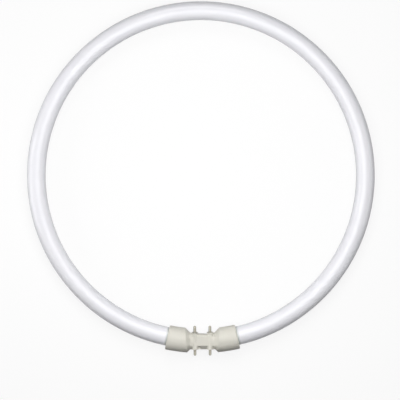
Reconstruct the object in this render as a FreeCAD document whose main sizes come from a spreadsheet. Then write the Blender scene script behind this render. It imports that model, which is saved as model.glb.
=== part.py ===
import FreeCAD, Part
import math
import os
import Sketcher

# Circular fluorescent tube, lying flat. The ring's axis is +Z and the four-pin cap is at -Y.
# Every sub-part is drawn about the ring's own centre, which its Placement then sets over the origin:
# the middle of the bottom of the whole lamp.

SIZES = [
    ("ring_outer_diameter", 299, "outside of the glass ring"),
    ("tube_diameter", 16, "outside of the glass tube"),
    ("glass_gap", 30, "between the two sealed ends of the glass"),
    ("glass_straight", 5, "straight stretch of tube at each sealed end"),
    ("glass_rounding", 4.5, "shoulder radius of a sealed end"),
    ("exhaust_diameter", 2.6, "tipped-off exhaust stub on each sealed end"),
    ("exhaust_length", 2.6, "how far the stub stands out of the sealed end"),
    ("sleeve_diameter", 21, "outside of the cap where it grips the tube"),
    ("cap_offset", 0.8, "how far the cap's middle line lies outside the tube's"),
    ("cap_length", 64.8, "widest span of the cap, end to end"),
    ("waist_height", 14, "waist at the pin columns, measured along the pins"),
    ("waist_depth", 14, "waist at the pin columns, front to back"),
    ("waist_length", 20.8, "where the cones reach the height of the pin columns"),
    ("column_width", 5.2, "width of the column round each pair of pins"),
    ("bridge_inset", 1.3, "how far the bridge stays below the columns on the ring's inner side"),
    ("panel_inset", 0.4, "how far the flat front panel lies behind the columns"),
    ("panel_height", 7.8, "height of the flat front panel"),
    ("panel_shift", 0.35, "panel's middle, towards the ring's centre from the cap's middle line"),
    ("chamber_height", 8.6, "hollow inside the waist, measured along the pins"),
    ("chamber_depth", 9.6, "hollow inside the waist, front to back"),
    ("cone_wall", 1.6, "wall of the cones that join waist and sleeves"),
    ("partition_thickness", 1, "rib that keeps the two tube ends' contacts apart"),
    ("end_clearance", 0.5, "between a sealed glass end and the shoulder of its bore"),
    ("pin_spacing", 13, "between the two pins of a pair"),
    ("pin_diameter", 2.4, "contact pin"),
    ("pin_root_diameter", 2.8, "pin where it passes through the wall of its column"),
    ("pin_reach", 5.8, "how far a pin stands out of its column"),
    ("pin_tail", 3.8, "how far a pin goes in, past the outside of its column"),
    ("pin_taper", 0.7, "length of the tapered tip of a pin"),
    ("pin_tip_diameter", 1.2, "flat end of a pin"),
    ("collar_diameter", 3.8, "collar that locks a pin between the shells"),
    ("collar_thickness", 0.8, "collar, along the pin"),
    ("collar_inset", 1.1, "from the outside of the column to the collar"),
    ("seat_clearance", 0.05, "round a pin and its collar in the shells"),
    ("lead_diameter", 0.5, "lead-in wire"),
    ("lead_offset", 2.1, "from the tube's axis to a lead, at the sealed end"),
    ("lead_run", 1.4, "from the cap's middle line to a lead beside the pins"),
    ("lead_bend", 0.9, "bend radius of a lead"),
    ("lead_depth", 3, "how far a lead goes into its pin"),
    ("crimp_clearance", 0.05, "round a lead in its pin"),
    ("cement_thickness", 0.35, "cement between glass and sleeve"),
    ("cement_inset", 2, "cement ring, in from the mouth of the sleeve"),
    ("peg_diameter", 1.4, "locating peg of a shell"),
    ("peg_length", 1.6, "how far a peg stands out of its shell"),
    ("peg_clearance", 0.05, "round a peg in its socket"),
    ("latch_width", 2.4, "latch window"),
    ("latch_offset", 2.5, "from the cap's centre to the middle of a latch window"),
    ("latch_clearance", 0.1, "round a latch hook"),
    ("hook_thickness", 1.1, "latch hook, above its barb"),
    ("hook_barb", 0.7, "how far the barb stands out"),
    ("window_start", 3.2, "from the joint between the shells to the latch window"),
    ("window_end", 6, "from the joint between the shells to the window's far side"),
]

WORKED_OUT = [
    ("tube_radius", "Sizes.tube_diameter / 2"),
    ("centre_radius", "(Sizes.ring_outer_diameter - Sizes.tube_diameter) / 2"),
    ("sleeve_radius", "Sizes.sleeve_diameter / 2"),
    ("cap_radius", "Derived.centre_radius + Sizes.cap_offset"),
    ("cap_end_angle", "asin(Sizes.cap_length / 2 / (Derived.cap_radius + Derived.sleeve_radius))"),
    ("glass_bend_angle", "asin((Sizes.glass_gap / 2 + Sizes.glass_straight) / Derived.centre_radius)"),
    ("bore_radius", "Derived.tube_radius + Sizes.cement_thickness"),
    ("bore_end_angle", "asin((Sizes.glass_gap / 2 - Sizes.end_clearance) / Derived.centre_radius)"),
    ("cone_start", "(Sizes.waist_length - Sizes.waist_height) / 2"),
    ("pin_tip", "Sizes.waist_height / 2 + Sizes.pin_reach"),
    ("pin_end", "Sizes.waist_height / 2 - Sizes.pin_tail"),
    ("bridge_inner", "Sizes.waist_height / 2 - Sizes.bridge_inset"),
    ("panel_front", "Sizes.waist_depth / 2 - Sizes.panel_inset"),
    ("ring_centre_y", "(Derived.cap_radius + Derived.pin_tip - Sizes.ring_outer_diameter / 2) / 2"),
    ("ring_centre_z", "Derived.sleeve_radius"),
    ("cavity_start", "Derived.cone_start + Sizes.cone_wall * sqrt(2)"),
    ("cavity_end", "(Derived.centre_radius + Derived.bore_radius) * sin(Derived.bore_end_angle)"),
    ("pin_radius", "Sizes.pin_diameter / 2"),
    ("pin_root_radius", "Sizes.pin_root_diameter / 2"),
    ("collar_radius", "Sizes.collar_diameter / 2"),
    ("collar_outer", "Sizes.waist_height / 2 - Sizes.collar_inset"),
    ("collar_inner", "Derived.collar_outer - Sizes.collar_thickness"),
    ("lead_end", "Derived.pin_end + Sizes.lead_depth"),
    ("peg_radius", "Sizes.peg_diameter / 2"),
    ("peg_angle", "(Derived.cap_end_angle + Derived.bore_end_angle) / 2"),
    ("outer_wall_start", "Derived.centre_radius + Derived.bore_radius"),
    ("outer_wall_end", "Derived.cap_radius + Derived.sleeve_radius"),
    ("peg_place", "(Derived.outer_wall_start + Derived.outer_wall_end) / 2"),
    ("cement_start_angle", "Derived.cap_end_angle - Sizes.cement_inset / Derived.centre_radius * 1 rad"),
    ("cement_angle", "Derived.cement_start_angle - Derived.glass_bend_angle"),
]
# The two sides of the lamp's middle plane, and the two sides of the cap's middle line.
SIDES = (("left", "-"), ("right", ""))
FACINGS = (("inner", ""), ("outer", "-"))

doc = FreeCAD.newDocument("circular_fluorescent_tube")
sizes = doc.addObject("Spreadsheet::Sheet", "Sizes")
for row, (alias, value, note) in enumerate(SIZES, 1):
    sizes.set(f"A{row}", alias)
    sizes.set(f"B{row}", str(value))
    sizes.set(f"C{row}", note)
    sizes.setAlias(f"B{row}", alias)
derived = doc.addObject("Spreadsheet::Sheet", "Derived")
for row, (alias, formula) in enumerate(WORKED_OUT, 1):
    derived.set(f"A{row}", alias)
    derived.setAlias(f"B{row}", alias)
    derived.set(f"B{row}", "=" + formula.replace("Derived.", ""))
doc.recompute()


def number(expression):
    """The present value of an expression over the two sheets."""
    value = sizes.evalExpression(expression)
    return float(getattr(value, "Value", value))


def spot(across, up):
    """A point of a sketch from a pair of expressions."""
    return FreeCAD.Vector(number(across), number(up), 0)


def new_body(name, turn=0):
    """A body whose own centre is the ring's, turned about the line through ring and cap."""
    body = doc.addObject("PartDesign::Body", name)
    body.Label = name
    turned = FreeCAD.Rotation(FreeCAD.Vector(0, 1, 0), turn)
    body.Placement = FreeCAD.Placement(FreeCAD.Vector(0, 0, 0), turned)
    body.setExpression("Placement.Base.y", "Derived.ring_centre_y")
    body.setExpression("Placement.Base.z", "Derived.ring_centre_z")
    return body


def new_sketch(body, plane, name, base=None, angle=None, mark=""):
    """A sketch on one of the body's own planes, moved by base, swung round the ring's axis by angle."""
    sketch = body.newObject("Sketcher::SketchObject", name)
    support = [f for f in body.Origin.OriginFeatures if f.Role == plane][0]
    sketch.AttachmentSupport = [(support, "")]
    sketch.MapMode = "FlatFace"
    if angle:
        upright = FreeCAD.Vector(0, 0, 1) if plane == "XY_Plane" else FreeCAD.Vector(0, 1, 0)
        turned = FreeCAD.Rotation(-upright if mark else upright, number(angle))
        sketch.AttachmentOffset = FreeCAD.Placement(FreeCAD.Vector(0, 0, 0), turned)
        sketch.setExpression("AttachmentOffset.Rotation.Angle", angle)
    for axis, expression in (base or {}).items():
        sketch.setExpression(f"AttachmentOffset.Base.{axis}", expression)
    return sketch


def bind(sketch, constraint, expression):
    """Add a constraint whose size is an expression."""
    sketch.setExpression(f"Constraints[{sketch.addConstraint(constraint)}]", expression)


def join(sketch, edge, end, other, start):
    sketch.addConstraint(Sketcher.Constraint("Coincident", edge, end, other, start))


def hold(sketch, edge, point, across=None, up=None):
    """Keep a point of a sketch at its distances from the sketch's origin."""
    if across is not None:
        bind(sketch, Sketcher.Constraint("DistanceX", -1, 1, edge, point, number(across)), across)
    if up is not None:
        bind(sketch, Sketcher.Constraint("DistanceY", -1, 1, edge, point, number(up)), up)


def draw_outline(sketch, corners):
    """A closed outline of straight edges through corners given as pairs of expressions."""
    first = sketch.GeometryCount
    count = len(corners)
    spots = [spot(*corner) for corner in corners]
    for i in range(count):
        sketch.addGeometry(Part.LineSegment(spots[i], spots[(i + 1) % count]), False)
    for i in range(count):
        join(sketch, first + i, 2, first + (i + 1) % count, 1)
    for i, (across, up) in enumerate(corners):
        hold(sketch, first + i, 1, across, up)


def draw_circle(sketch, across, up, radius):
    circle = Part.Circle(spot(across, up), FreeCAD.Vector(0, 0, 1), number(radius))
    edge = sketch.addGeometry(circle, False)
    hold(sketch, edge, 3, across, up)
    bind(sketch, Sketcher.Constraint("Radius", edge, number(radius)), radius)


def draw_upright(sketch, across, half_width, height):
    """A straight-sided upright with a round head, its foot on the sketch's level axis."""
    left = f"{across} - {half_width}"
    right = f"{across} + {half_width}"
    circle = Part.Circle(spot(across, height), FreeCAD.Vector(0, 0, 1), number(half_width))
    foot = sketch.addGeometry(Part.LineSegment(spot(left, "0"), spot(right, "0")), False)
    near = sketch.addGeometry(Part.LineSegment(spot(right, "0"), spot(right, height)), False)
    head = sketch.addGeometry(Part.ArcOfCircle(circle, 0, math.pi), False)
    far = sketch.addGeometry(Part.LineSegment(spot(left, height), spot(left, "0")), False)
    join(sketch, foot, 2, near, 1)
    join(sketch, near, 2, head, 1)
    join(sketch, head, 2, far, 1)
    join(sketch, far, 2, foot, 1)
    hold(sketch, foot, 1, left, "0")
    hold(sketch, foot, 2, right, "0")
    hold(sketch, head, 3, across, height)
    hold(sketch, head, 1, right, height)
    hold(sketch, head, 2, up=height)


def draw_half_disc(sketch, across, radius):
    """The upper half of a disc that stands on the sketch's level axis."""
    centre = spot(across, "0")
    reach = FreeCAD.Vector(number(radius), 0, 0)
    circle = Part.Circle(centre, FreeCAD.Vector(0, 0, 1), number(radius))
    arc = sketch.addGeometry(Part.ArcOfCircle(circle, 0, math.pi), False)
    foot = sketch.addGeometry(Part.LineSegment(centre - reach, centre + reach), False)
    join(sketch, arc, 2, foot, 1)
    join(sketch, arc, 1, foot, 2)
    hold(sketch, arc, 3, across, "0")
    hold(sketch, arc, 1, f"{across} + {radius}", "0")
    hold(sketch, arc, 2, up="0")


def draw_route(sketch, corners, bend):
    """An open run of straight edges through the corners, each corner rounded by a tangent arc."""
    spots = [spot(*corner) for corner in corners]
    radius = number(bend)
    starts = [spots[0]]
    ends = []
    arcs = []
    for before, corner, after in zip(spots, spots[1:], spots[2:]):
        back = (before - corner).normalize()
        on = (after - corner).normalize()
        half_turn = (math.pi - back.getAngle(on)) / 2
        cut = radius * math.tan(half_turn)
        inward = (back + on).normalize()
        middle = corner + inward * (radius / math.cos(half_turn) - radius)
        ends.append(corner + back * cut)
        starts.append(corner + on * cut)
        arcs.append(Part.Arc(ends[-1], middle, starts[-1]))
    ends.append(spots[-1])
    runs = []
    for start, end in zip(starts, ends):
        runs.append(sketch.addGeometry(Part.LineSegment(start, end), False))
    for run, following, arc, end in zip(runs, runs[1:], arcs, ends):
        edge = sketch.addGeometry(arc, False)
        flipped = (sketch.getPoint(edge, 1) - end).Length > radius / 1000
        near, far = (2, 1) if flipped else (1, 2)
        sketch.addConstraint(Sketcher.Constraint("Tangent", run, 2, edge, near))
        sketch.addConstraint(Sketcher.Constraint("Tangent", edge, far, following, 1))
        bind(sketch, Sketcher.Constraint("Radius", edge, radius), bend)
    hold(sketch, runs[0], 1, *corners[0])
    hold(sketch, runs[-1], 2, *corners[-1])
    for run, following, corner in zip(runs, runs[1:], corners[1:]):
        mark = sketch.addGeometry(Part.Point(spot(*corner)), True)
        hold(sketch, mark, 1, *corner)
        sketch.addConstraint(Sketcher.Constraint("PointOnObject", mark, 1, run))
        sketch.addConstraint(Sketcher.Constraint("PointOnObject", mark, 1, following))


def add_feature(body, kind, name, sketch, **settings):
    """A feature made from a sketch: its Length and Angle are expressions."""
    feature = body.newObject("PartDesign::" + kind, name)
    feature.Profile = sketch
    for key, value in settings.items():
        if key in ("Length", "Angle"):
            feature.setExpression(key, value)
        else:
            setattr(feature, key, value)
    doc.recompute()
    return feature


def round_edges(body, name, radius, chosen):
    """Round those edges of the body so far that the test picks."""
    base = body.Tip
    edges = base.Shape.Edges
    names = [f"Edge{i}" for i, edge in enumerate(edges, 1) if chosen(edge)]
    fillet = body.newObject("PartDesign::Fillet", name)
    fillet.Base = (base, names)
    fillet.setExpression("Radius", radius)
    doc.recompute()


def circle_of(radius):
    """A test for circular edges of this radius."""
    def is_circle(edge):
        curve = edge.Curve
        return isinstance(curve, Part.Circle) and abs(curve.Radius - number(radius)) < 1e-6
    return is_circle


def swing(body, kind, name, sketch, angle, **settings):
    """A solid or a cut revolved about the ring's axis."""
    axis = (sketch, ["V_Axis"])
    return add_feature(body, kind, name, sketch, ReferenceAxis=axis, Angle=angle, **settings)


def make_glass():
    """The blown ring of tube, with a straight, round-shouldered, sealed end at each side of the gap."""
    body = new_body("glass_tube")
    sketch = new_sketch(body, "YZ_Plane", "tube_section")
    draw_circle(sketch, "Derived.centre_radius", "0", "Derived.tube_radius")
    swing(body, "Revolution", "tube", sketch, "360 deg - 2 * Derived.glass_bend_angle", Midplane=True)

    # Each end is turned about the tube's own axis: a plug of glass with its tipped-off stub.
    angle = "Derived.glass_bend_angle"
    stub = "Sizes.exhaust_diameter / 2"
    for side, mark in SIDES:
        back = "" if mark else "-"
        base = {
            "x": f"{mark}Derived.centre_radius * sin({angle})",
            "y": f"-Derived.centre_radius * cos({angle})",
        }
        sketch = new_sketch(body, "XY_Plane", side + "_end_section", base, angle, mark)
        draw_outline(sketch, [
            ("0", "0"),
            ("0", "Derived.tube_radius"),
            (f"{back}Sizes.glass_straight", "Derived.tube_radius"),
            (f"{back}Sizes.glass_straight", stub),
            (f"{back}(Sizes.glass_straight + Sizes.exhaust_length)", stub),
            (f"{back}(Sizes.glass_straight + Sizes.exhaust_length)", "0"),
        ])
        level = (sketch, ["H_Axis"])
        add_feature(body, "Revolution", side + "_end", sketch, ReferenceAxis=level, Angle="360")

    face = number("Derived.centre_radius * sin(Derived.glass_bend_angle) - Sizes.glass_straight / 2")
    stub_middle = face - number("(Sizes.glass_straight + Sizes.exhaust_length) / 2")

    def is_shoulder(edge):
        return circle_of("Derived.tube_radius")(edge) and abs(edge.CenterOfMass.x) < face

    def is_stub_tip(edge):
        return circle_of(stub)(edge) and abs(edge.CenterOfMass.x) < stub_middle

    round_edges(body, "shoulders", "Sizes.glass_rounding", is_shoulder)
    round_edges(body, "stub_tips", "Sizes.exhaust_diameter * 0.45", is_stub_tip)


def make_shell(name, turn):
    """One moulded half of the cap, its joint face on the ring's middle plane."""
    body = new_body(name, turn)
    middle = {"y": "-Derived.cap_radius"}
    upright_middle = {"x": "-Derived.cap_radius"}

    sketch = new_sketch(body, "YZ_Plane", name + "_sleeve_section")
    draw_half_disc(sketch, "-Derived.cap_radius", "Derived.sleeve_radius")
    swing(body, "Revolution", name + "_sleeves", sketch, "2 * Derived.cap_end_angle", Midplane=True)

    # The waist is turned down between two cones, deeper between the pins, where a bridge and columns
    # then build it up again.
    neck = "Sizes.chamber_height / 2"
    waist = "Sizes.waist_height / 2"
    rim = "Derived.sleeve_radius * 1.5"
    sketch = new_sketch(body, "XY_Plane", name + "_waist_cut", middle)
    draw_outline(sketch, [
        ("-Sizes.pin_spacing / 2", neck),
        ("Sizes.pin_spacing / 2", neck),
        ("Sizes.pin_spacing / 2", waist),
        ("Sizes.waist_length / 2", waist),
        (f"Derived.cone_start + {rim}", rim),
        (f"-Derived.cone_start - {rim}", rim),
        ("-Sizes.waist_length / 2", waist),
        ("-Sizes.pin_spacing / 2", waist),
    ])
    level = (sketch, ["H_Axis"])
    add_feature(body, "Groove", name + "_waist", sketch, ReferenceAxis=level, Angle="360")

    # The bridge between the cones has a flat panel in front, with a slope on each side of it.
    panel_top = "(Sizes.panel_shift + Sizes.panel_height / 2)"
    panel_foot = "(Sizes.panel_height / 2 - Sizes.panel_shift)"
    sketch = new_sketch(body, "YZ_Plane", name + "_bridge_section", upright_middle)
    draw_outline(sketch, [
        (f"-{waist}", "0"),
        ("Derived.bridge_inner", "0"),
        ("Derived.bridge_inner", f"Derived.panel_front - Derived.bridge_inner + {panel_top}"),
        (panel_top, "Derived.panel_front"),
        (f"-{panel_foot}", "Derived.panel_front"),
        (f"-{waist}", f"Derived.panel_front - {waist} + {panel_foot}"),
    ])
    length = "Sizes.waist_length + 2 * Sizes.cone_wall"
    add_feature(body, "Pad", name + "_bridge", sketch, Length=length, Midplane=True)

    # A round-fronted column stands round each pair of pins.
    for side, mark in SIDES:
        base = {"x": f"{mark}Sizes.pin_spacing / 2", "z": "Derived.cap_radius"}
        sketch = new_sketch(body, "XZ_Plane", f"{name}_{side}_column_section", base)
        draw_upright(
            sketch, "0", "Sizes.column_width / 2", "(Sizes.waist_depth - Sizes.column_width) / 2"
        )
        height = "Sizes.waist_height"
        add_feature(body, "Pad", f"{name}_{side}_column", sketch, Length=height, Midplane=True)

    # Inside are a chamber behind the bridge, a flared hollow in each cone and a bore in each sleeve.
    reach = f"Derived.cavity_start + {neck}"
    sketch = new_sketch(body, "XY_Plane", name + "_chamber_outline", middle)
    draw_outline(sketch, [
        (f"-({reach})", f"-{neck}"), (reach, f"-{neck}"), (reach, neck), (f"-({reach})", neck),
    ])
    depth = "Sizes.chamber_depth / 2"
    add_feature(body, "Pocket", name + "_chamber", sketch, Length=depth, Reversed=True)

    sketch = new_sketch(body, "XY_Plane", name + "_flare_section", middle)
    for side, mark in SIDES:
        draw_outline(sketch, [
            (f"{mark}({reach})", "0"),
            (f"{mark}({reach})", neck),
            (f"{mark}(Derived.cavity_start + Derived.bore_radius)", "Derived.bore_radius"),
            (f"{mark}Derived.cavity_end", "Derived.bore_radius"),
            (f"{mark}Derived.cavity_end", "0"),
        ])
    level = (sketch, ["H_Axis"])
    add_feature(body, "Groove", name + "_flares", sketch, ReferenceAxis=level, Angle="360")

    bore_angle = "Derived.cap_end_angle - Derived.bore_end_angle"
    for side, mark in SIDES:
        sketch = new_sketch(
            body, "YZ_Plane", f"{name}_{side}_bore_section", angle="Derived.bore_end_angle", mark=mark
        )
        draw_circle(sketch, "-Derived.centre_radius", "0", "Derived.bore_radius")
        swing(body, "Groove", f"{name}_{side}_bore", sketch, bore_angle, Reversed=bool(mark))

    # Each pair of pins lies in a stepped seat, half in each shell.
    for side, mark in SIDES:
        base = {"x": f"{mark}Sizes.pin_spacing / 2", "y": "-Derived.cap_radius"}
        sketch = new_sketch(body, "XY_Plane", f"{name}_{side}_seat_section", base)
        seat = "Derived.pin_radius + Sizes.seat_clearance"
        pocket = "Derived.collar_radius + Sizes.seat_clearance"
        passage = "Derived.pin_root_radius + Sizes.seat_clearance"
        for facing, sign in FACINGS:
            draw_outline(sketch, [
                ("0", f"{sign}Derived.pin_end"),
                (seat, f"{sign}Derived.pin_end"),
                (seat, f"{sign}(Derived.collar_inner - Sizes.seat_clearance)"),
                (pocket, f"{sign}(Derived.collar_inner - Sizes.seat_clearance)"),
                (pocket, f"{sign}(Derived.collar_outer + Sizes.seat_clearance)"),
                (passage, f"{sign}(Derived.collar_outer + Sizes.seat_clearance)"),
                (passage, f"{sign}Derived.pin_tip"),
                ("0", f"{sign}Derived.pin_tip"),
            ])
        upright = (sketch, ["V_Axis"])
        add_feature(
            body, "Groove", f"{name}_{side}_seats", sketch, ReferenceAxis=upright, Angle="360"
        )

    # A rib across the chamber keeps the two ends' contacts apart.
    sketch = new_sketch(body, "YZ_Plane", name + "_partition_section", upright_middle)
    draw_outline(sketch, [(f"-{neck}", "0"), (neck, "0"), (neck, depth), (f"-{neck}", depth)])
    thickness = "Sizes.partition_thickness"
    add_feature(body, "Pad", name + "_partition", sketch, Length=thickness, Midplane=True)

    # A barbed hook on one side of the rib goes into the other shell's window, above and below.
    wall = "Sizes.chamber_height / 2"
    face = f"({wall} - Sizes.latch_clearance)"
    back = f"({face} - Sizes.hook_thickness)"
    catch = "-(Sizes.window_start + Sizes.latch_clearance)"
    tip = f"-({depth} - Sizes.latch_clearance)"
    base = {"x": "-Derived.cap_radius", "z": "Sizes.latch_offset"}
    sketch = new_sketch(body, "YZ_Plane", name + "_hook_section", base)
    for facing, sign in FACINGS:
        draw_outline(sketch, [
            (f"{sign}{back}", depth),
            (f"{sign}{wall}", depth),
            (f"{sign}{wall}", "0"),
            (f"{sign}{face}", "0"),
            (f"{sign}{face}", catch),
            (f"{sign}({face} + Sizes.hook_barb)", catch),
            (f"{sign}{face}", tip),
            (f"{sign}{back}", tip),
        ])
    width = "Sizes.latch_width - 2 * Sizes.latch_clearance"
    add_feature(body, "Pad", name + "_hooks", sketch, Length=width, Midplane=True)

    base = {"x": "-Derived.cap_radius", "z": "-Sizes.latch_offset"}
    sketch = new_sketch(body, "YZ_Plane", name + "_window_section", base)
    for facing, sign in FACINGS:
        draw_outline(sketch, [
            (f"{sign}{face}", "Sizes.window_start"),
            (f"{sign}Sizes.waist_height", "Sizes.window_start"),
            (f"{sign}Sizes.waist_height", "Sizes.window_end"),
            (f"{sign}{face}", "Sizes.window_end"),
        ])
    width = "Sizes.latch_width"
    add_feature(body, "Pocket", name + "_windows", sketch, Length=width, Midplane=True)

    # A peg in the thick outer wall of one sleeve, and a socket for the other shell's in the other.
    place = ("Derived.peg_place * sin(Derived.peg_angle)", "-Derived.peg_place * cos(Derived.peg_angle)")
    sketch = new_sketch(body, "XY_Plane", name + "_peg_section")
    draw_circle(sketch, *place, "Derived.peg_radius")
    add_feature(body, "Pad", name + "_peg", sketch, Length="Sizes.peg_length", Reversed=True)
    sketch = new_sketch(body, "XY_Plane", name + "_socket_section")
    draw_circle(sketch, "-" + place[0], place[1], "Derived.peg_radius + Sizes.peg_clearance")
    deep = "Sizes.peg_length + Sizes.peg_clearance"
    add_feature(body, "Pocket", name + "_socket", sketch, Length=deep, Reversed=True)


def make_pin(side, mark, facing, sign):
    """A turned contact pin with a collar, a tapered tip and a blind hole for its lead."""
    name = f"{facing}_{side}_pin"
    body = new_body(name)
    hole = "(Sizes.lead_diameter / 2 + Sizes.crimp_clearance)"
    hole_end = "(Derived.lead_end + Sizes.crimp_clearance)"
    base = {"x": f"{mark}Sizes.pin_spacing / 2", "y": "-Derived.cap_radius"}
    sketch = new_sketch(body, "XY_Plane", name + "_section", base)
    draw_outline(sketch, [
        (hole, f"{sign}Derived.pin_end"),
        ("Derived.pin_radius", f"{sign}Derived.pin_end"),
        ("Derived.pin_radius", f"{sign}Derived.collar_inner"),
        ("Derived.collar_radius", f"{sign}Derived.collar_inner"),
        ("Derived.collar_radius", f"{sign}Derived.collar_outer"),
        ("Derived.pin_root_radius", f"{sign}Derived.collar_outer"),
        ("Derived.pin_root_radius", f"{sign}Sizes.waist_height / 2"),
        ("Derived.pin_radius", f"{sign}Sizes.waist_height / 2"),
        ("Derived.pin_radius", f"{sign}(Derived.pin_tip - Sizes.pin_taper)"),
        ("Sizes.pin_tip_diameter / 2", f"{sign}Derived.pin_tip"),
        ("0", f"{sign}Derived.pin_tip"),
        ("0", f"{sign}{hole_end}"),
        (hole, f"{sign}{hole_end}"),
    ])
    upright = (sketch, ["V_Axis"])
    add_feature(body, "Revolution", name + "_turned", sketch, ReferenceAxis=upright, Angle="360")


def lead_foot(mark, sign):
    """Where a lead comes out of the sealed end."""
    angle = "Derived.glass_bend_angle"
    radius = f"(Derived.centre_radius - {sign}Sizes.lead_offset)"
    return (
        f"{mark}({radius} * sin({angle}) - Sizes.glass_straight * cos({angle}))",
        f"Derived.cap_radius - {radius} * cos({angle}) - Sizes.glass_straight * sin({angle})",
    )


def make_lead(side, mark, facing, sign):
    """A lead-in wire from a sealed end of the glass, bent round into its pin."""
    name = f"{facing}_{side}_lead"
    body = new_body(name)
    route = new_sketch(body, "XY_Plane", name + "_route", {"y": "-Derived.cap_radius"})
    draw_route(route, [
        lead_foot(mark, sign),
        (f"{mark}Sizes.pin_spacing / 2", f"{sign}Sizes.lead_run"),
        (f"{mark}Sizes.pin_spacing / 2", f"{sign}Derived.lead_end"),
    ], "Sizes.lead_bend")
    angle = "Derived.glass_bend_angle"
    back = "" if mark else "-"
    base = {
        "x": f"-Sizes.glass_straight * sin({angle})",
        "z": f"{back}Sizes.glass_straight * cos({angle})",
    }
    section = new_sketch(body, "YZ_Plane", name + "_section", base, angle, mark)
    place = f"{sign}Sizes.lead_offset - Derived.centre_radius"
    draw_circle(section, place, "0", "Sizes.lead_diameter / 2")
    doc.recompute()
    edges = [f"Edge{i + 1}" for i in range(len(route.Shape.Edges))]
    add_feature(body, "AdditivePipe", name + "_drawn", section, Spine=(route, edges))


def make_cement(side, mark):
    """The ring of cement between the glass and the bore of a sleeve."""
    name = side + "_cement"
    body = new_body(name)
    angle = "Derived.cement_start_angle"
    sketch = new_sketch(body, "YZ_Plane", name + "_section", angle=angle, mark=mark)
    draw_circle(sketch, "-Derived.centre_radius", "0", "Derived.bore_radius")
    draw_circle(sketch, "-Derived.centre_radius", "0", "Derived.tube_radius")
    swing(body, "Revolution", name + "_ring", sketch, "Derived.cement_angle", Reversed=not mark)


def check(objects):
    """Stop if anything in the document failed, or a sub-part has no valid solid."""
    for item in objects:
        if {"Invalid", "Error"} & set(item.State):
            raise RuntimeError(f"{item.Label} did not build: {item.State}")
    for body in objects:
        if body.TypeId == "PartDesign::Body":
            if body.Shape.isNull() or not body.Shape.isValid() or not body.Shape.Solids:
                raise RuntimeError(f"{body.Label} has no valid solid")


make_glass()
make_shell("cap_front_shell", 0)
make_shell("cap_rear_shell", 180)
for side, mark in SIDES:
    make_cement(side, mark)
    for facing, sign in FACINGS:
        make_pin(side, mark, facing, sign)
        make_lead(side, mark, facing, sign)

doc.recompute()
check(doc.Objects)
os.makedirs("parts", exist_ok=True)
for body in doc.Objects:
    if body.TypeId == "PartDesign::Body":
        body.Shape.exportStep(f"parts/{body.Label}.step")
        print(body.Label, len(body.Shape.Solids), "solid", round(body.Shape.Volume, 2), "mm3")
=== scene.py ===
"""Circular fluorescent tube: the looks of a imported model, laid out as an add-on and run as a script."""

import math

import bmesh
import bpy
from bpy.props import FloatProperty, FloatVectorProperty, IntProperty, PointerProperty
from mathutils import Matrix, Vector
from mathutils.kdtree import KDTree


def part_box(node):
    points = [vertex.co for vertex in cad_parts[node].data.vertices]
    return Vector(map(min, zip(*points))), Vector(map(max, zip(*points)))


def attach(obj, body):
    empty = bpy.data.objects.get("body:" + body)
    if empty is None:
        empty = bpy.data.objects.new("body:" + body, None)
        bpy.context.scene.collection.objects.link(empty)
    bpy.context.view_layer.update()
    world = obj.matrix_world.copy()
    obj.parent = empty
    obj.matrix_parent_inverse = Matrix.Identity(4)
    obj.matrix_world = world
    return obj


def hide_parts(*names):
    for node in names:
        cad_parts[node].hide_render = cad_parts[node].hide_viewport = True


bl_info = {
    "name": "Circular Fluorescent Tube",
    "version": (1, 0, 0),
    "blender": (4, 5, 0),
    "location": "View3D > Sidebar > Lamp",
    "description": "Dresses a circular fluorescent tube with its cap and sets its stage",
    "category": "Object",
}

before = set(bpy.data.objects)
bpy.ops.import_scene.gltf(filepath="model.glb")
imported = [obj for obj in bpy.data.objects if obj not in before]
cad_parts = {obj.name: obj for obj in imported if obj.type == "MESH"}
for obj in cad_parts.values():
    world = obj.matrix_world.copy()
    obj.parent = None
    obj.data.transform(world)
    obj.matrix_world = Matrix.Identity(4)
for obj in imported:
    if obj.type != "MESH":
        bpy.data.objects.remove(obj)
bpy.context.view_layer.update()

MM = 0.001
PICTURE_PIXELS = 400
GLASS_LOW, GLASS_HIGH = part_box("glass_tube")
RING_DIAMETER = GLASS_HIGH.x - GLASS_LOW.x
TUBE_DIAMETER = GLASS_HIGH.z - GLASS_LOW.z
GLASS_RADIUS = TUBE_DIAMETER / 2
RING_CENTRE = Vector((0, GLASS_HIGH.y - RING_DIAMETER / 2, (GLASS_HIGH.z + GLASS_LOW.z) / 2))
SHELLS = ("cap_front_shell", "cap_rear_shell")
PINS = ("inner_left_pin", "inner_right_pin", "outer_left_pin", "outer_right_pin")
LEADS = ("inner_left_lead", "inner_right_lead", "outer_left_lead", "outer_right_lead")
CEMENTS = ("left_cement", "right_cement")
CAP_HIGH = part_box("cap_front_shell")[1]
SLEEVE_RADIUS = CAP_HIGH.z - RING_CENTRE.z
PIN_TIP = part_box("outer_right_pin")[0].y
PIN_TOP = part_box("inner_right_pin")[1].y
BEND_RADIUS = RING_CENTRE.y - (PIN_TIP + PIN_TOP) / 2
MOUTH_ANGLE = math.asin(CAP_HIGH.x / (BEND_RADIUS + SLEEVE_RADIUS))
SHARP = math.radians(28)
NEAR = 0.1 * MM


def linear(code):
    """The linear colour of an sRGB hex code."""
    parts = [int(code[i:i + 2], 16) / 255 for i in (0, 2, 4)]
    return tuple(c / 12.92 if c <= 0.04045 else ((c + 0.055) / 1.055) ** 2.4 for c in parts)


def colour_property(name, description, code):
    return FloatVectorProperty(
        name=name, description=description, subtype="COLOR", size=3, min=0, max=1, default=linear(code)
    )


def length_property(name, description, value):
    return FloatProperty(name=name, description=description, unit="LENGTH", min=0, default=value)


def power_property(name, description, value):
    return FloatProperty(name=name, description=description, unit="POWER", min=0, default=value)


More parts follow.
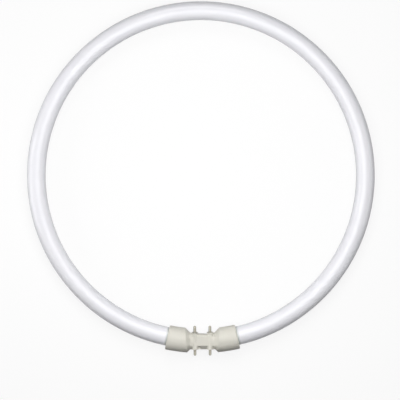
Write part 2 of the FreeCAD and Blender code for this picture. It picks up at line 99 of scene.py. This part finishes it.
class GlassSettings(bpy.types.PropertyGroup):
    """The glass ring and its coating."""
    ring_diameter: length_property("Ring diameter", "Outside of the ring", RING_DIAMETER)
    tube_diameter: length_property("Tube diameter", "Outside of the tube", TUBE_DIAMETER)
    gap: length_property("Gap", "Between the two sealed ends, inside the cap", 30 * MM)
    straight: length_property("Straight end", "Straight stretch at each sealed end", 5 * MM)
    shoulder: length_property("Shoulder", "Radius of a sealed end's shoulder", 4.5 * MM)
    stub_diameter: length_property("Stub diameter", "Tipped-off exhaust stub", 2.6 * MM)
    stub_length: length_property("Stub length", "How far the stub stands out", 2.6 * MM)
    steps_along: IntProperty(name="Steps along", description="Faces along the ring", default=300, min=24)
    sides: IntProperty(name="Sides", description="Faces round the tube", default=64, min=12)
    coating: colour_property("Coating", "White phosphor powder inside the glass", "F7F7FA")
    coating_thin: colour_property("Thin coating", "Where the powder lies a little thinner", "F1F1F7")
    # Painted shade: this grey and its band stand in for the sleeve's shade on the glass at each mouth.
    mouth_shade: colour_property("Coating's end", "Greyed powder where the tube goes into the cap", "C6CAC8")
    mouth_shade_width: length_property("Greyed band", "How far the grey reaches out of a sleeve", 2.5 * MM)


class CapSettings(bpy.types.PropertyGroup):
    """The two moulded shells of the cap."""
    edge_rounding: length_property("Edge rounding", "Radius between a sleeve and its cone", 0.3 * MM)
    rim_rounding: length_property("Rim rounding", "Radius of a sleeve's outer rim", 0.9 * MM)
    mouth_rounding: length_property("Mouth rounding", "Radius of a sleeve's edge round the glass", 0.5 * MM)
    plastic: colour_property("Plastic", "Ivory polyester of the cap", "E3E0D6")
    plastic_flow: colour_property("Plastic flow", "Where the melt flowed a little darker", "DBD9CE")


class MetalSettings(bpy.types.PropertyGroup):
    """The contact pins and the wires behind them."""
    tip_rounding: length_property("Tip rounding", "Radius of a pin's tip and its taper", 0.28 * MM)
    brass: colour_property("Brass", "Drawn brass of the pins", "A9A79C")
    brass_tarnish: colour_property("Tarnish", "Dulled patches on the brass", "8E8A7D")
    wire: colour_property("Wire", "Nickel-iron lead-in wire", "A39D94")
    cement: colour_property("Cement", "Cured basing cement", "DCD9CE")


class StageSettings(bpy.types.PropertyGroup):
    """The floor, the lamps and the camera."""
    picture_width: length_property("Picture width", "Seen at the height of the ring", 344.0 * MM)
    ring_across: FloatProperty(name="Ring across", description="Ring centre, pixels from the left",
                               default=200.85)
    ring_down: FloatProperty(name="Ring down", description="Ring centre, pixels from the top", default=175.25)
    roll: FloatProperty(name="Roll", description="Turn of the ring in the picture", subtype="ANGLE",
                        default=math.radians(0.55))
    lens: FloatProperty(name="Lens", description="Focal length in millimetres", default=100, min=1)
    floor: colour_property("Floor", "White sheet under the lamp", "FDFDFD")
    bounce: colour_property("Bounce", "What the sheet throws back on the lamp", "606166")
    room: colour_property("Room", "Light from all round", "F0F1F8")
    room_strength: FloatProperty(name="Room strength", description="Level of the light all round",
                                 default=0.02)
    far_power: power_property("Far power", "High softbox beyond the far side of the ring", 2.95)
    middle_power: power_property("Middle power", "Softbox above the middle of the ring", 0.97)
    left_power: power_property("Left power", "Low softbox on the left", 0.84)
    right_power: power_property("Right power", "Low softbox on the right", 0.22)
    near_power: power_property("Near power", "Softbox above the right of the cap", 0.17)
    cap_power: power_property("Cap power", "Small softbox above the cap", 0.033)


def deselect_all():
    if bpy.context.object and bpy.context.object.mode != "OBJECT":
        bpy.ops.object.mode_set(mode="OBJECT")
    bpy.ops.object.select_all(action="DESELECT")


def make_active(piece):
    deselect_all()
    piece.select_set(True)
    bpy.context.view_layer.objects.active = piece


def select_edges(piece, chosen):
    """In edit mode, select just the edges that the test picks, and give their number."""
    bpy.ops.mesh.select_mode(type="EDGE")
    bpy.ops.mesh.select_all(action="DESELECT")
    mesh = bmesh.from_edit_mesh(piece.data)
    picked = [edge for edge in mesh.edges if chosen(edge)]
    for edge in picked:
        edge.select_set(True)
    bmesh.update_edit_mesh(piece.data)
    return len(picked)


def middle_of(edge):
    return (edge.verts[0].co + edge.verts[1].co) / 2


def merged_copy(node, name):
    """A merged copy of a CAD node's mesh, with its real edges marked sharp and its flat faces made whole."""
    piece = bpy.data.objects.new(name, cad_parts[node].data.copy())
    bpy.context.scene.collection.objects.link(piece)
    make_active(piece)
    bpy.ops.object.mode_set(mode="EDIT")
    bpy.ops.mesh.select_all(action="SELECT")
    bpy.ops.mesh.remove_doubles(threshold=0.002 * MM)
    bpy.ops.mesh.dissolve_limited(angle_limit=math.radians(0.5))
    bpy.ops.mesh.select_all(action="DESELECT")
    bpy.ops.mesh.edges_select_sharp(sharpness=math.radians(20))
    bpy.ops.mesh.mark_sharp()
    bpy.ops.object.mode_set(mode="OBJECT")
    bpy.ops.mesh.customdata_custom_splitnormals_clear()
    return piece


def clear_beside(piece, width, chosen):
    """Dissolve the loose points of a curved face that lie where the picked edges' rounding will run."""
    make_active(piece)
    bpy.ops.object.mode_set(mode="EDIT")
    mesh = bmesh.from_edit_mesh(piece.data)
    ends = [vert.co for edge in mesh.edges if chosen(edge) for vert in edge.verts]
    spots = KDTree(len(ends))
    for i, end in enumerate(ends):
        spots.insert(end, i)
    spots.balance()
    bpy.ops.mesh.select_mode(type="VERT")
    bpy.ops.mesh.select_all(action="DESELECT")
    loose = [vert for vert in bmesh.from_edit_mesh(piece.data).verts
             if all(edge.smooth for edge in vert.link_edges) and spots.find(vert.co)[2] < width]
    for vert in loose:
        vert.select_set(True)
    bmesh.update_edit_mesh(piece.data)
    if loose:
        bpy.ops.mesh.dissolve_verts()
    bpy.ops.object.mode_set(mode="OBJECT")


def round_off(piece, width, steps, chosen):
    """Round the picked edges of a piece."""
    make_active(piece)
    bpy.ops.object.mode_set(mode="EDIT")
    if not select_edges(piece, chosen):
        raise RuntimeError(f"{piece.name} has no such edge to round")
    bpy.ops.mesh.bevel(offset=width, offset_type="OFFSET", segments=steps, profile=0.5, clamp_overlap=False)
    bpy.ops.object.mode_set(mode="OBJECT")


def finish_piece(piece, material, slot, *nodes):
    """Smooth a piece, give it its material and let it stand for its CAD nodes."""
    make_active(piece)
    bpy.ops.object.shade_smooth(keep_sharp_edges=True)
    weighted = piece.modifiers.new("weighted normals", "WEIGHTED_NORMAL")
    weighted.keep_sharp = True
    bpy.ops.object.modifier_apply(modifier=weighted.name)
    piece.data.materials.clear()
    piece.data.materials.append(material)
    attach(piece, "root")
    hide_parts(*nodes)


def add_node(tree, kind, values=None, links=None, **settings):
    """Add a shader node with its settings, the values of its sockets and the links into them."""
    node = tree.nodes.new(kind)
    for key, value in settings.items():
        setattr(node, key, value)
    for key, value in (values or {}).items():
        node.inputs[key].default_value = value
    for key, socket in (links or {}).items():
        tree.links.new(socket, node.inputs[key])
    return node


def new_material(name):
    """An empty material and its node tree."""
    material = bpy.data.materials.new(name)
    material.use_nodes = True
    material.node_tree.nodes.clear()
    return material, material.node_tree


def coated_glass(settings):
    """Soda-lime glass over white phosphor powder: matt white that seems to lie under a clear wet skin."""
    material, tree = new_material("coated soda-lime glass")
    place = add_node(tree, "ShaderNodeTexCoord")
    centred = add_node(tree, "ShaderNodeVectorMath", {1: RING_CENTRE}, {0: place.outputs["Object"]},
                       operation="SUBTRACT")
    parts = add_node(tree, "ShaderNodeSeparateXYZ", links={0: centred.outputs[0]})
    angle = add_node(tree, "ShaderNodeMath", links={0: parts.outputs["X"], 1: parts.outputs["Y"]},
                     operation="ARCTAN2")
    along = add_node(tree, "ShaderNodeMath", {1: settings.ring_diameter / 2}, {0: angle.outputs[0]},
                     operation="MULTIPLY")
    out = add_node(tree, "ShaderNodeVectorMath", links={0: centred.outputs[0]}, operation="LENGTH")
    unrolled = add_node(tree, "ShaderNodeCombineXYZ",
                        links={"X": along.outputs[0], "Y": out.outputs["Value"], "Z": parts.outputs["Z"]})

    # The powder was flushed down the tube: it lies a little thinner in long soft patches.
    patch_length = 40 * MM
    patch_width = 9 * MM
    stretched = add_node(tree, "ShaderNodeMapping", {"Scale": (patch_width / patch_length, 1, 1)},
                         {"Vector": unrolled.outputs[0]})
    patches = add_node(tree, "ShaderNodeTexNoise", {"Scale": 1 / patch_width, "Detail": 2.0},
                       {"Vector": stretched.outputs[0]})
    powder = add_node(tree, "ShaderNodeMix",
                      {"A": (*settings.coating_thin, 1), "B": (*settings.coating, 1)},
                      {"Factor": patches.outputs["Fac"]}, data_type="RGBA")

    # Painted shade: the powder is greyed in a band just outside each sleeve's mouth, where the sleeve shades
    # the glass.
    mouth = (math.pi - MOUTH_ANGLE) * settings.ring_diameter / 2
    far_along = add_node(tree, "ShaderNodeMath", links={0: along.outputs[0]}, operation="ABSOLUTE")
    mouth_shade_mask = add_node(tree, "ShaderNodeMapRange", {"From Min": mouth - settings.mouth_shade_width, "From Max": mouth},
                      {"Value": far_along.outputs[0]}, interpolation_type="SMOOTHSTEP")
    coated = add_node(tree, "ShaderNodeMix", {"B": (*settings.mouth_shade, 1)},
                      {"Factor": mouth_shade_mask.outputs[0], "A": powder.outputs["Result"]}, data_type="RGBA")

    # The powder's grain is drawn at 0.3 mm, far coarser than the real 0.01 mm, so that it can show.
    grain_width = 0.3 * MM
    grain = add_node(tree, "ShaderNodeTexNoise", {"Scale": 1 / grain_width, "Detail": 1.0},
                     {"Vector": place.outputs["Object"]})
    powder_relief = add_node(tree, "ShaderNodeBump", {"Strength": 0.1, "Distance": 0.03 * MM},
                             {"Height": grain.outputs["Fac"]})

    # Drawn glass waves by a few hundredths of a millimetre, in streaks along the tube.
    wave_width = 5 * MM
    lengthwise = 0.12
    streak = add_node(tree, "ShaderNodeMapping", {"Scale": (lengthwise, 1, 1)},
                      {"Vector": unrolled.outputs[0]})
    waves = add_node(tree, "ShaderNodeTexNoise", {"Scale": 1 / wave_width, "Detail": 1.0},
                     {"Vector": streak.outputs[0]})
    glass_relief = add_node(tree, "ShaderNodeBump", {"Strength": 0.25, "Distance": 0.04 * MM},
                            {"Height": waves.outputs["Fac"]})
    shader = add_node(
        tree, "ShaderNodeBsdfPrincipled",
        {"Roughness": 0.9, "IOR": 1.5, "Specular IOR Level": 0.1, "Coat Weight": 0.8, "Coat IOR": 1.52,
         "Coat Roughness": 0.12},
        {"Base Color": coated.outputs["Result"], "Normal": powder_relief.outputs[0],
         "Coat Normal": glass_relief.outputs[0]},
    )
    add_node(tree, "ShaderNodeOutputMaterial", links={"Surface": shader.outputs[0]})
    return material


def moulded_polyester(settings):
    """Ivory glass-filled polyester, moulded in a spark-eroded tool: satin, with a very fine even grain."""
    material, tree = new_material("moulded ivory polyester")
    place = add_node(tree, "ShaderNodeTexCoord")
    flow_width = 7 * MM
    flow = add_node(tree, "ShaderNodeTexNoise", {"Scale": 1 / flow_width, "Detail": 3.0},
                    {"Vector": place.outputs["Object"]})
    plastic = add_node(tree, "ShaderNodeMix",
                       {"A": (*settings.plastic_flow, 1), "B": (*settings.plastic, 1)},
                       {"Factor": flow.outputs["Fac"]}, data_type="RGBA")

    # The tool's grain is drawn at 0.25 mm, coarser than the real 0.05 mm, so that it can show.
    grain_width = 0.25 * MM
    grain = add_node(tree, "ShaderNodeTexNoise", {"Scale": 1 / grain_width, "Detail": 2.0},
                     {"Vector": place.outputs["Object"]})
    relief = add_node(tree, "ShaderNodeBump", {"Strength": 0.35, "Distance": 0.015 * MM},
                      {"Height": grain.outputs["Fac"]})
    least_roughness = 0.6
    most_roughness = 0.7
    gloss = add_node(tree, "ShaderNodeMapRange", {"To Min": least_roughness, "To Max": most_roughness},
                     {"Value": grain.outputs["Fac"]})
    shader = add_node(
        tree, "ShaderNodeBsdfPrincipled", {"IOR": 1.55},
        {"Base Color": plastic.outputs["Result"], "Roughness": gloss.outputs[0], "Normal": relief.outputs[0]},
    )
    add_node(tree, "ShaderNodeOutputMaterial", links={"Surface": shader.outputs[0]})
    return material


def drawn_metal(name, bright, dull, roughness, line):
    """Metal drawn along its length: fine lines along the pin or wire, and patches that the air has dulled."""
    material, tree = new_material(name)
    place = add_node(tree, "ShaderNodeTexCoord")
    patch_width = 2.5 * MM
    patches = add_node(tree, "ShaderNodeTexNoise", {"Scale": 1 / patch_width, "Detail": 3.0},
                       {"Vector": place.outputs["Object"]})
    metal = add_node(tree, "ShaderNodeMix", {"A": (*bright, 1), "B": (*dull, 1)},
                     {"Factor": patches.outputs["Fac"]}, data_type="RGBA")

    # The drawing lines run along Y, and are a few times wider than the real ones, so that they can show.
    lengthwise = 0.06
    stretched = add_node(tree, "ShaderNodeMapping", {"Scale": (1, lengthwise, 1)},
                         {"Vector": place.outputs["Object"]})
    lines = add_node(tree, "ShaderNodeTexNoise", {"Scale": 1 / line, "Detail": 2.0},
                     {"Vector": stretched.outputs[0]})
    relief = add_node(tree, "ShaderNodeBump", {"Strength": 0.3, "Distance": 0.01 * MM},
                      {"Height": lines.outputs["Fac"]})
    bright_roughness = roughness - 0.06
    dull_roughness = roughness + 0.1
    gloss = add_node(tree, "ShaderNodeMapRange", {"To Min": bright_roughness, "To Max": dull_roughness},
                     {"Value": patches.outputs["Fac"]})
    shader = add_node(
        tree, "ShaderNodeBsdfPrincipled", {"Metallic": 1.0},
        {"Base Color": metal.outputs["Result"], "Roughness": gloss.outputs[0], "Normal": relief.outputs[0]},
    )
    add_node(tree, "ShaderNodeOutputMaterial", links={"Surface": shader.outputs[0]})
    return material


def basing_cement(colour):
    """Cured basing cement: a dull, slightly gritty off-white."""
    material, tree = new_material("basing cement")
    place = add_node(tree, "ShaderNodeTexCoord")
    grit_width = 0.4 * MM
    grit = add_node(tree, "ShaderNodeTexNoise", {"Scale": 1 / grit_width, "Detail": 4.0},
                    {"Vector": place.outputs["Object"]})
    darker = [c * 0.85 for c in colour]
    tint = add_node(tree, "ShaderNodeMix", {"A": (*darker, 1), "B": (*colour, 1)},
                    {"Factor": grit.outputs["Fac"]}, data_type="RGBA")
    relief = add_node(tree, "ShaderNodeBump", {"Strength": 0.6, "Distance": 0.05 * MM},
                      {"Height": grit.outputs["Fac"]})
    shader = add_node(tree, "ShaderNodeBsdfPrincipled", {"Roughness": 0.9},
                      {"Base Color": tint.outputs["Result"], "Normal": relief.outputs[0]})
    add_node(tree, "ShaderNodeOutputMaterial", links={"Surface": shader.outputs[0]})
    return material


class GlassRing(bpy.types.Operator):
    """Blow and bend the glass ring, and coat it"""
    bl_idname = "lamp.glass_ring"
    bl_label = "Glass ring"

    def execute(self, context):
        settings = context.scene.lamp_glass
        tube_radius = settings.tube_diameter / 2
        centre_radius = settings.ring_diameter / 2 - tube_radius
        bend = math.asin((settings.gap / 2 + settings.straight) / centre_radius)
        start = Matrix.Rotation(bend, 4, "Z") @ Vector((0, -centre_radius, 0))

        # A circle of glass is spun round the ring's axis, from one end of the gap to the other.
        deselect_all()
        bpy.ops.mesh.primitive_circle_add(
            vertices=settings.sides, radius=tube_radius, location=RING_CENTRE + start,
            rotation=(math.pi / 2, 0, math.pi / 2 + bend),
        )
        ring = context.active_object
        ring.name = "coated_glass_ring"
        bpy.ops.object.transform_apply(location=True, rotation=True, scale=True)
        bpy.ops.object.mode_set(mode="EDIT")
        bpy.ops.mesh.select_all(action="SELECT")
        bpy.ops.mesh.spin(steps=settings.steps_along, angle=2 * math.pi - 2 * bend, center=RING_CENTRE,
                          axis=(0, 0, -1))

        # Each end is drawn in over a round shoulder to its tipped-off stub, in six steps a quarter turn.
        quarter = 6
        rounding = settings.shoulder
        stub_radius = settings.stub_diameter / 2
        tip_rounding = stub_radius * 0.9
        profile = [(settings.straight - rounding, tube_radius)]
        for i in range(1, quarter + 1):
            turn = math.pi / 2 * i / quarter
            profile.append((settings.straight - rounding * (1 - math.sin(turn)),
                            tube_radius - rounding * (1 - math.cos(turn))))
        profile.append((settings.straight, stub_radius))
        stub_end = settings.straight + settings.stub_length
        for i in range(quarter + 1):
            turn = math.pi / 2 * i / quarter
            profile.append((stub_end - tip_rounding * (1 - math.sin(turn)),
                            stub_radius - tip_rounding * (1 - math.cos(turn))))
        for side in (1, -1):
            centre = RING_CENTRE + Vector((side * start.x, start.y, 0))
            outward = Vector((-side * math.cos(bend), -math.sin(bend), 0))

            def on_end(edge):
                return edge.is_boundary and edge.verts[0].co.x * side > 0

            select_edges(ring, on_end)
            reached, radius = 0, tube_radius
            for distance, new_radius in profile:
                bpy.ops.mesh.extrude_edges_move(
                    TRANSFORM_OT_translate={"value": outward * (distance - reached), "orient_type": "GLOBAL"}
                )
                factor = new_radius / radius
                bpy.ops.transform.resize(value=(factor,) * 3, center_override=centre + outward * distance)
                reached, radius = distance, new_radius
            bpy.ops.mesh.edge_face_add()
        bpy.ops.mesh.select_all(action="SELECT")
        bpy.ops.mesh.remove_doubles(threshold=0.001 * MM)
        bpy.ops.mesh.normals_make_consistent(inside=False)
        bpy.ops.object.mode_set(mode="OBJECT")
        finish_piece(ring, coated_glass(settings), "coated_glass", "glass_tube")
        return {"FINISHED"}


class CapShells(bpy.types.Operator):
    """Round the edges of the cap's two moulded shells"""
    bl_idname = "lamp.cap_shells"
    bl_label = "Cap shells"

    def execute(self, context):
        settings = context.scene.lamp_cap
        plastic = moulded_polyester(settings)

        def outward_at(point):
            """From the cap's bent middle line out to a point."""
            flat = Vector((point.x, point.y - RING_CENTRE.y, 0))
            nearest = RING_CENTRE + flat.normalized() * BEND_RADIUS
            return point - nearest

        def convex(edge):
            off_joint = abs(middle_of(edge).z - RING_CENTRE.z) > NEAR
            return off_joint and edge.calc_face_angle_signed(0) > SHARP

        def at_end(point):
            return abs(point.x) > CAP_HIGH.x * 0.8

        def on_rim(edge):
            point = middle_of(edge)
            return convex(edge) and at_end(point) and outward_at(point).length > SLEEVE_RADIUS - 2 * NEAR

        def on_mouth(edge):
            point = middle_of(edge)
            return convex(edge) and at_end(point) and outward_at(point).length < GLASS_RADIUS + 1 * MM

        def on_shoulder(edge):
            point = middle_of(edge)
            inside = abs(point.x) < CAP_HIGH.x / 2
            return convex(edge) and inside and outward_at(point).length > SLEEVE_RADIUS - NEAR

        for node in SHELLS:
            shell = merged_copy(node, "moulded_" + node)
            round_off(shell, settings.rim_rounding, steps=4, chosen=on_rim)
            round_off(shell, settings.mouth_rounding, steps=3, chosen=on_mouth)
            clear_beside(shell, settings.edge_rounding * 2, on_shoulder)
            round_off(shell, settings.edge_rounding, steps=2, chosen=on_shoulder)
            finish_piece(shell, plastic, "cap_plastic", node)
        return {"FINISHED"}


class ContactPins(bpy.types.Operator):
    """Round the tips of the four contact pins"""
    bl_idname = "lamp.contact_pins"
    bl_label = "Contact pins"

    def execute(self, context):
        settings = context.scene.lamp_metal
        brass = drawn_metal("drawn brass", settings.brass, settings.brass_tarnish, roughness=0.3,
                            line=0.12 * MM)
        taper = math.radians(15)
        for node in PINS:
            low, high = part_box(node)
            tip = high.y if node.startswith("inner") else low.y
            pin = merged_copy(node, "drawn_" + node)

            def near_tip(edge):
                close = abs(middle_of(edge).y - tip) < 1 * MM
                return close and edge.is_manifold and edge.calc_face_angle_signed(0) > taper

            round_off(pin, settings.tip_rounding, steps=4, chosen=near_tip)
            finish_piece(pin, brass, "pin_brass", node)
        return {"FINISHED"}


class HiddenPieces(bpy.types.Operator):
    """Finish the wires and the cement inside the cap"""
    bl_idname = "lamp.hidden_pieces"
    bl_label = "Hidden pieces"

    def execute(self, context):
        settings = context.scene.lamp_metal
        dull_wire = [c * 0.7 for c in settings.wire]
        wire = drawn_metal("nickel-iron wire", settings.wire, dull_wire, roughness=0.35, line=0.06 * MM)
        cement = basing_cement(settings.cement)
        for names, material in ((LEADS, wire), (CEMENTS, cement)):
            for name in names:
                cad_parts[name].data.materials.clear()
                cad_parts[name].data.materials.append(material)
        return {"FINISHED"}


def background_share(tree):
    """1 where the camera, gloss or glass looks at the background, and 0 where light falls on it."""
    path = add_node(tree, "ShaderNodeLightPath")
    direct = add_node(tree, "ShaderNodeMath", operation="MAXIMUM",
                      links={0: path.outputs["Is Camera Ray"], 1: path.outputs["Is Glossy Ray"]})
    return add_node(tree, "ShaderNodeMath", operation="MAXIMUM",
                    links={0: direct.outputs[0], 1: path.outputs["Is Transmission Ray"]})


def pale_sheet(colour, bounce):
    """A white sheet that camera, gloss and glass see at its own colour, with the lamp's soft shadow on it."""
    material, tree = new_material("white sheet")
    seen = background_share(tree)

    # Glow and lit share come to about the sheet's own colour, and only the lit share takes the shadow.
    glow_share = 0.88
    lit_share = 0.14
    matt = add_node(tree, "ShaderNodeBsdfDiffuse", {"Color": (*[c * lit_share for c in colour], 1)})
    glow = add_node(tree, "ShaderNodeEmission", {"Color": (*colour, 1), "Strength": glow_share})
    white = add_node(tree, "ShaderNodeAddShader", links={0: matt.outputs[0], 1: glow.outputs[0]})
    grey = add_node(tree, "ShaderNodeBsdfDiffuse", {"Color": (*bounce, 1)})
    both = add_node(tree, "ShaderNodeMixShader",
                    links={0: seen.outputs[0], 1: grey.outputs[0], 2: white.outputs[0]})
    add_node(tree, "ShaderNodeOutputMaterial", links={"Surface": both.outputs[0]})
    return material


def add_softbox(name, place, width, power):
    """A square area lamp that faces the ring's centre."""
    bpy.ops.object.light_add(type="AREA", location=place)
    lamp = bpy.context.active_object
    lamp.name = name
    lamp.data.size = width
    lamp.data.energy = power
    lamp.visible_camera = False
    lamp.rotation_euler = (RING_CENTRE - Vector(place)).to_track_quat("-Z", "Y").to_euler()
    return lamp


class Stage(bpy.types.Operator):
    """Lay out the floor, the lamps and the camera"""
    bl_idname = "lamp.stage"
    bl_label = "Stage"

    def execute(self, context):
        settings = context.scene.lamp_stage
        scene = context.scene
        deselect_all()
        below_lamp = -0.2 * MM
        bpy.ops.mesh.primitive_plane_add(size=6, location=(0, 0, below_lamp))
        floor = context.active_object
        floor.name = "floor"
        floor.data.materials.append(pale_sheet(settings.floor, settings.bounce))

        scene.world = bpy.data.worlds.new("white room")
        scene.world.use_nodes = True
        tree = scene.world.node_tree
        tree.nodes.clear()
        room = add_node(tree, "ShaderNodeBackground",
                        {"Color": (*settings.room, 1), "Strength": settings.room_strength})
        white = add_node(tree, "ShaderNodeBackground", {"Color": (*settings.floor, 1), "Strength": 1.0})
        seen = background_share(tree)
        both = add_node(tree, "ShaderNodeMixShader",
                        links={0: seen.outputs[0], 1: room.outputs[0], 2: white.outputs[0]})
        add_node(tree, "ShaderNodeOutputWorld", links={"Surface": both.outputs[0]})
        add_softbox("far softbox", (0, 0.8, 0.9), width=0.5, power=settings.far_power)
        add_softbox("middle softbox", (0, 0.02, 0.35), width=0.3, power=settings.middle_power)
        add_softbox("left softbox", (-0.5, 0, 0.16), width=0.3, power=settings.left_power)
        add_softbox("right softbox", (0.5, 0, 0.16), width=0.3, power=settings.right_power)
        add_softbox("near softbox", (0.2, -0.2, 0.5), width=0.3, power=settings.near_power)
        add_softbox("cap softbox", (0, -0.14, 0.2), width=0.1, power=settings.cap_power)

        # The camera looks straight down, and a small roll sets the cap where the picture has it.
        camera_data = bpy.data.cameras.new("camera")
        camera = bpy.data.objects.new("camera", camera_data)
        scene.collection.objects.link(camera)
        camera_data.lens = settings.lens
        pixel = settings.picture_width / PICTURE_PIXELS
        across = (settings.ring_across - PICTURE_PIXELS / 2) * pixel
        up = (PICTURE_PIXELS / 2 - settings.ring_down) * pixel
        turned = Matrix.Rotation(-settings.roll, 4, "Z")
        aim = RING_CENTRE - turned @ Vector((across, up, 0))
        distance = settings.picture_width * settings.lens / camera_data.sensor_width
        camera.matrix_world = Matrix.Translation(aim + Vector((0, 0, distance))) @ turned
        scene.camera = camera
        scene.view_settings.view_transform = "Standard"
        return {"FINISHED"}


class LampPanel(bpy.types.Panel):
    """Lists the lamp's pieces in the 3D view's sidebar"""
    bl_idname = "VIEW3D_PT_lamp"
    bl_label = "Circular tube"
    bl_space_type = "VIEW_3D"
    bl_region_type = "UI"
    bl_category = "Lamp"

    def draw(self, context):
        for operator in OPERATORS:
            self.layout.operator(operator.bl_idname)


SETTINGS = {
    "lamp_glass": GlassSettings,
    "lamp_cap": CapSettings,
    "lamp_metal": MetalSettings,
    "lamp_stage": StageSettings,
}
OPERATORS = (GlassRing, CapShells, ContactPins, HiddenPieces, Stage)


def register():
    for group in SETTINGS.values():
        bpy.utils.register_class(group)
    for name, group in SETTINGS.items():
        setattr(bpy.types.Scene, name, PointerProperty(type=group))
    for operator in OPERATORS:
        bpy.utils.register_class(operator)
    bpy.utils.register_class(LampPanel)


def unregister():
    bpy.utils.unregister_class(LampPanel)
    for operator in reversed(OPERATORS):
        bpy.utils.unregister_class(operator)
    for name, group in SETTINGS.items():
        delattr(bpy.types.Scene, name)
        bpy.utils.unregister_class(group)


def main():
    register()
    bpy.ops.lamp.glass_ring()
    bpy.ops.lamp.cap_shells()
    bpy.ops.lamp.contact_pins()
    bpy.ops.lamp.hidden_pieces()
    bpy.ops.lamp.stage()


if __name__ == "__main__":
    main()
